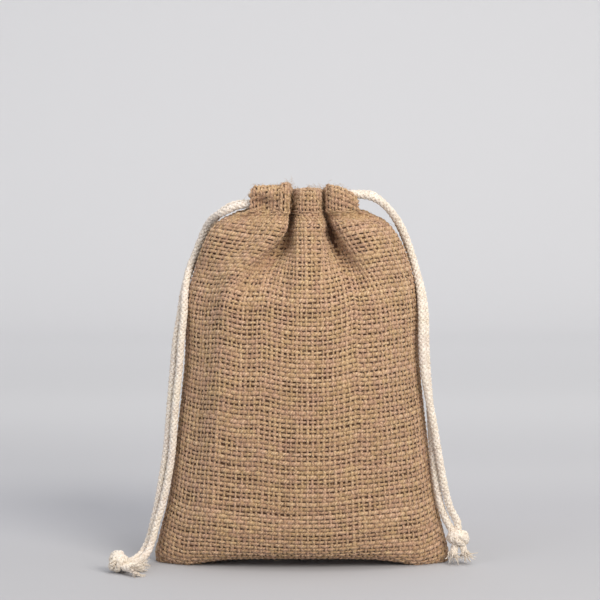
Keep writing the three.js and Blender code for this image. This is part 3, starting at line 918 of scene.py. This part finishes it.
def wovenFace(face):
    # warp, weft and the dark ground between them, its darkness partly painted shade, and the grid that they
    # follow
    grid, neckRow = faceGrid(face)
    outward = gridNormals(grid)
    if face == "back":
        outward = -outward
    seedBase = 100 if face == "front" else 5000
    warp = bundled(f"{face}_warp", warpTubes(grid, outward, seedBase), juteYarn)
    weft = bundled(f"{face}_weft", weftTubes(grid, outward, neckRow, seedBase), juteYarn)
    # a dark sheet just under the yarns: painted shade between them, over the fibre's own brown
    web = (grid - outward * yarn["groundIn"])[::pouch["perPitch"], 1::pouch["perPitch"]]
    web[..., 2] = np.maximum(web[..., 2], yarn["floor"])
    rows, cols = web.shape[:2]
    i, k = np.meshgrid(np.arange(rows - 1), np.arange(cols - 1), indexing="ij")
    corner = i * cols + k
    quads = np.stack([corner, corner + 1, corner + cols + 1, corner + cols], axis=-1)
    ground = meshPiece(f"{face}_ground", web.reshape(-1, 3) * mm, quads.reshape(-1, 4), juteShadedGround)
    print(face, "weave", pouch["warps"], "warps,", len(grid) // pouch["perPitch"], "wefts,",
          len(warp.data.polygons), "and", len(weft.data.polygons), "faces")
    return warp, weft, ground, grid


# Loose fibres standing out of the cloth, more of them along the fold of the mouth; lengths in mm,
# rows counted from the foot or from the fold.
hairs = {
    "perFace": 1500, "atMouth": 260, "length": 3.6, "lengths": (0.4, 1.4), "radius": 0.055, "points": 6,
    "sides": 3, "lift": 0.25, "risesOnWall": (0.3, 0.8), "risesAtMouth": (0.3, 1.5), "bend": 0.4,
    "arches": (1.2, 3.0), "firstRow": 20, "belowFold": 10, "pastFold": 4, "floor": 0.2, "tint": (0.5, 0.68),
}


def hairyFace(face, grid, seed):
    source = np.random.default_rng(seed)
    outward = gridNormals(grid) * (-1 if face == "back" else 1)
    top = int(np.median(grid[..., 2].argmax(axis=0)))
    s = np.linspace(0, 1, hairs["points"])[:, None]
    tubes = []
    for k in range(hairs["perFace"] + hairs["atMouth"]):
        atMouth = k >= hairs["perFace"]
        low, high = hairs["firstRow"], top
        if atMouth:
            low, high = top - hairs["belowFold"], top + hairs["pastFold"]
        r = source.integers(low, high)
        c = source.integers(1, columns - 1)
        out = outward[r, c]
        turn = source.uniform(0, 2 * math.pi)
        along = unit(grid[r, c + 1] - grid[r, c - 1])
        flat = along * math.cos(turn) + np.cross(out, along) * math.sin(turn)
        length = hairs["length"] * source.uniform(*hairs["lengths"])
        rise = hairs["lift"] * source.uniform(*hairs["risesAtMouth" if atMouth else "risesOnWall"])
        bend = np.cross(out, flat) * source.normal() * hairs["bend"]
        arch = np.sin(s * source.uniform(*hairs["arches"])) * rise
        line = grid[r, c] + out * yarn["relief"] + (flat * s + bend * s ** 2 + out * arch) * length
        line[:, 2] = np.maximum(line[:, 2], hairs["floor"])
        _, normals, sides = framesAlong(line, out)
        tube = tubeRing(line, sides, normals, hairs["radius"], hairs["radius"], hairs["sides"])
        tubes.append((*tube, source.uniform(*hairs["tint"])))
    return bundled(f"{face}_loose_fibre", tubes, juteYarn)


# the grid of each face, which the stitching follows
grids = {}
for face, hairSeed in (("front", 71), ("back", 83)):
    warp, weft, ground, grid = wovenFace(face)
    grids[face] = grid
    hair = hairyFace(face, grid, hairSeed)
    for piece in (warp, weft, ground, hair):
        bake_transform(piece)
    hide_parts(f"{face}_panel", f"{face}_channel")
    for piece in (warp, weft, hair):
        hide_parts(f"{face}_panel")


# inside the channel a cord follows the gathers of the wall in front of it
for sideName, way in (("left", -1), ("right", 1)):
    z = cord["exitLift"][sideName]
    within = channelRun["sagWithin"]
    near, far = way * cord["hiddenFrom"][sideName], -way * channelRun["to"]
    for face, out in (("front", -1), ("back", 1)):
        route = []
        for x in np.linspace(near, far, channelRun["points"]):
            sag = channelRun["sag"][sideName] * (1 - smooth(abs(x), within - channelRun["sagFade"], within))
            route.append((x, out * cordDepth(face, x), z - sag))
        piece = braidedCord(f"{sideName}_run_{face}", route)[0]
        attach(piece, f"mouth_{face}")
        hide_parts(f"{sideName}_cord_{face}_run")
    arc = np.linspace(-math.pi / 2, math.pi / 2, channelRun["points"])
    middle = channelRun["to"]
    bow = channelRun["turnReach"] - middle
    route = [(-way * (middle + bow * math.cos(t)), cord["cordY"] * math.sin(t), z) for t in arc]
    piece = braidedCord(f"{sideName}_turn", route)[0]
    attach(piece, "root")
    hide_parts(f"{sideName}_cord_turn")

# the stitching of each channel follows the outer wall
for face, out in (("front", -1), ("back", 1)):
    grid = grids[face]
    row = np.abs(grid[: len(grid) - stitch["hemRows"], :, 2] - stitch["height"]).argmin(axis=0)
    line = splinePoints(grid[row, np.arange(columns)][1:-1:2], stitch["step"])[0]
    normal = unit(np.cross(np.gradient(line, axis=0), (0, 0, 1)))
    normal *= np.sign((normal[:, 1] * out).mean())
    run = np.arange(len(line)) * stitch["step"]
    lift = stitch["lift"] + stitch["rise"] * np.sin(math.pi * run / stitch["length"])
    centres = line + normal * lift[:, None]
    across = unit(np.cross(normal, unit(np.gradient(centres, axis=0))))
    tube = tubeRing(centres, across, normal, stitch["radius"], stitch["radius"], stitch["sides"])
    seam = bundled(f"{face}_channel_stitch", [(*tube, stitch["tint"])], juteYarn)
    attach(seam, f"mouth_{face}")
    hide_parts(f"{face}_channel_thread")


# Pale paper, in metres. The tones are y and the paper's tone there: painted shade, darkest under and just
# behind the pouch, lighter up the wall.
backdrop = {
    "front": -1.8, "back": 1.5, "radius": 0.4, "height": 2.4, "halfWidth": 2.6,
    "toneFrom": -1.0, "toneTo": 1.6,
    "shadedTones": [
        (-1.0, "#b9b9bb"), (-0.02, "#b2b2b5"), (0.13, "#b7b7bb"), (0.3, "#c0c0c3"), (0.65, "#d3d3d5"),
        (1.1, "#e0e0e2"),
    ],
}


def makeStage():
    # a pale floor that curves up into the wall behind
    material = bpy.data.materials.new("matt paper backdrop with painted shade")
    material.use_nodes = True
    tree = material.node_tree
    shader = tree.nodes["Principled BSDF"]
    place = addNode(tree, "ShaderNodeTexCoord")
    split = addNode(tree, "ShaderNodeSeparateXYZ", {"Vector": place.outputs["Object"]})
    near, far = backdrop["toneFrom"], backdrop["toneTo"]
    # painted shade: the paper darkens towards the pouch and lightens up the wall, by its y alone
    depth = addNode(tree, "ShaderNodeMapRange", {"Value": split.outputs["Y"]}, in_1=near, in_2=far)
    shade = addNode(tree, "ShaderNodeValToRGB", {"Fac": depth.outputs["Result"]})
    stops = shade.color_ramp
    stops.interpolation = "EASE"
    for _ in range(len(backdrop["shadedTones"]) - 2):
        stops.elements.new(0.5)
    for element, (y, colour) in zip(stops.elements, backdrop["shadedTones"]):
        element.position = (y - near) / (far - near)
        element.color = linear(colour)
    tree.links.new(shade.outputs["Color"], shader.inputs["Base Color"])
    # matt, so that it shows no reflection of the pouch
    shader.inputs["Roughness"].default_value = 0.9
    front, back, radius = backdrop["front"], backdrop["back"], backdrop["radius"]
    section = [(front + (back - radius - front) * k / 13, 0) for k in range(13)]
    for turn in np.linspace(0, math.pi / 2, 25):
        section.append((back - radius + radius * math.sin(turn), radius - radius * math.cos(turn)))
    section.append((back, backdrop["height"]))
    points = []
    for y, z in section:
        points += [(-backdrop["halfWidth"], y, z), (backdrop["halfWidth"], y, z)]
    quads = [(2 * k, 2 * k + 1, 2 * k + 3, 2 * k + 2) for k in range(len(section) - 1)]
    meshPiece("backdrop", points, quads, material)


def areaLight(name, place, aim, size, power, colour):
    # a round softbox, size in metres across and power in watts
    data = bpy.data.lights.new(name, "AREA")
    data.shape = "DISK"
    data.size = size
    data.energy = power
    data.color = linear(colour)[:3]
    lamp = bpy.data.objects.new(name, data)
    scene.collection.objects.link(lamp)
    lamp.location = place
    direction = Vector(aim) - Vector(place)
    lamp.rotation_euler = direction.to_track_quat("-Z", "Y").to_euler()


makeStage()
areaLight("key softbox", (0.85, -1.25, 1.0), (0, 0, 0.09), 1.0, 25, "#fffaf2")
areaLight("fill", (-1.3, -1.0, 0.7), (0, 0, 0.08), 1.2, 6.5, "#f4f7ff")
areaLight("top", (0.2, -0.1, 1.6), (0, 0, 0.1), 1.0, 9, "#ffffff")
# even light from all round, weaker than the softboxes
world = bpy.data.worlds.new("studio")
scene.world = world
world.use_nodes = True
world.node_tree.nodes["Background"].inputs["Color"].default_value = linear("#e6e7ea")
world.node_tree.nodes["Background"].inputs["Strength"].default_value = 0.58
scene.view_settings.view_transform = "Standard"
